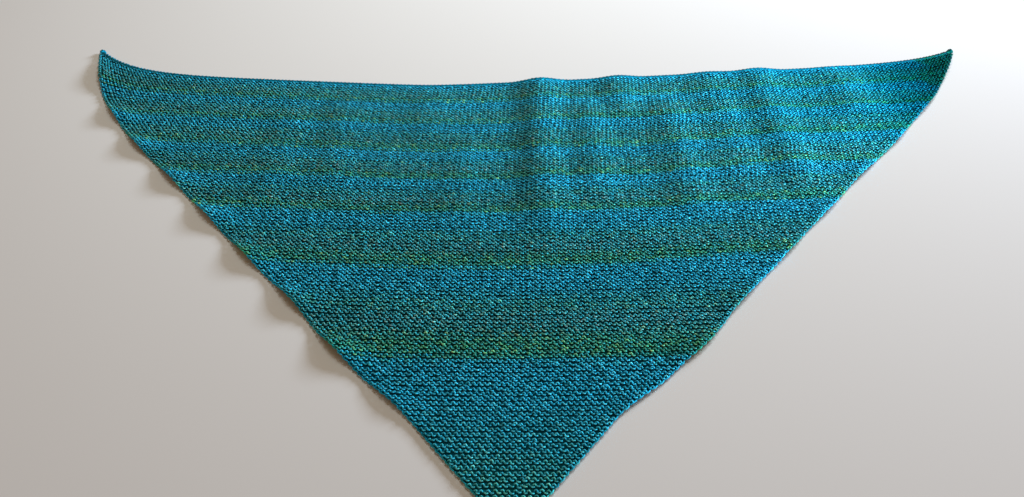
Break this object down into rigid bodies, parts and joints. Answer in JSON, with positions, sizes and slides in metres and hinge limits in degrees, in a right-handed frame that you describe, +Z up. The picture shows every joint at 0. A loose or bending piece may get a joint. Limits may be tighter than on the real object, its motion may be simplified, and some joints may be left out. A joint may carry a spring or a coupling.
{
  "type": "knitted triangular shawl",
  "caption": "Triangular garter-stitch shawl laid flat, with bowed rows, gentle waves, scalloped slanting edges and a corded cast-off edge along its long side.",
  "frame": {"origin": "on the surface that the shawl lies on, under the middle of its box", "axes": "+X along the long cast-off edge, +Y from the tip towards that edge, +Z up out of the surface"},
  "size_m": [1.2, 0.6995, 0.0099],
  "materials": {
    "striped_yarn": "matt yarn in teal, blue and olive stripes",
    "cast_off_yarn": "matt dark teal yarn"
  },
  "bodies": {
    "root": {"knit_panel": "striped_yarn", "cast_off_edge": "cast_off_yarn"}
  },
  "joints": []
}
